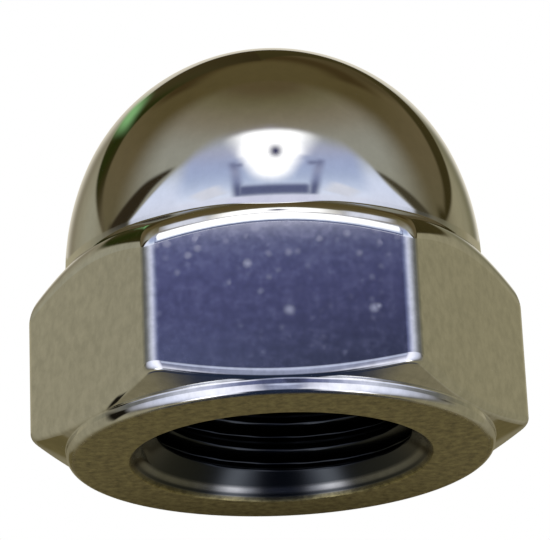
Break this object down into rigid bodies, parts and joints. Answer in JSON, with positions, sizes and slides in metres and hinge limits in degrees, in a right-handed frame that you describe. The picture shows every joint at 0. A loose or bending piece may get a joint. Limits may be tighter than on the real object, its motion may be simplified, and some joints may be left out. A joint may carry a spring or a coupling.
{
  "type": "cap nut",
  "caption": "Domed hexagon nut that closes over the end of a threaded stud, with a blind thread, turned shoulder and raised bearing face.",
  "frame": {"origin": "centre of the bearing face, on the thread axis", "axes": "+Z along the thread axis to the crown of the dome; two of the six flats face -Y and +Y, two corners lie on X"},
  "size_m": [0.0216, 0.019, 0.0186],
  "materials": {
    "chrome": "bright plated outside, satin turned bearing face"
  },
  "bodies": {
    "root": {"cap_nut": "chrome"}
  },
  "joints": []
}
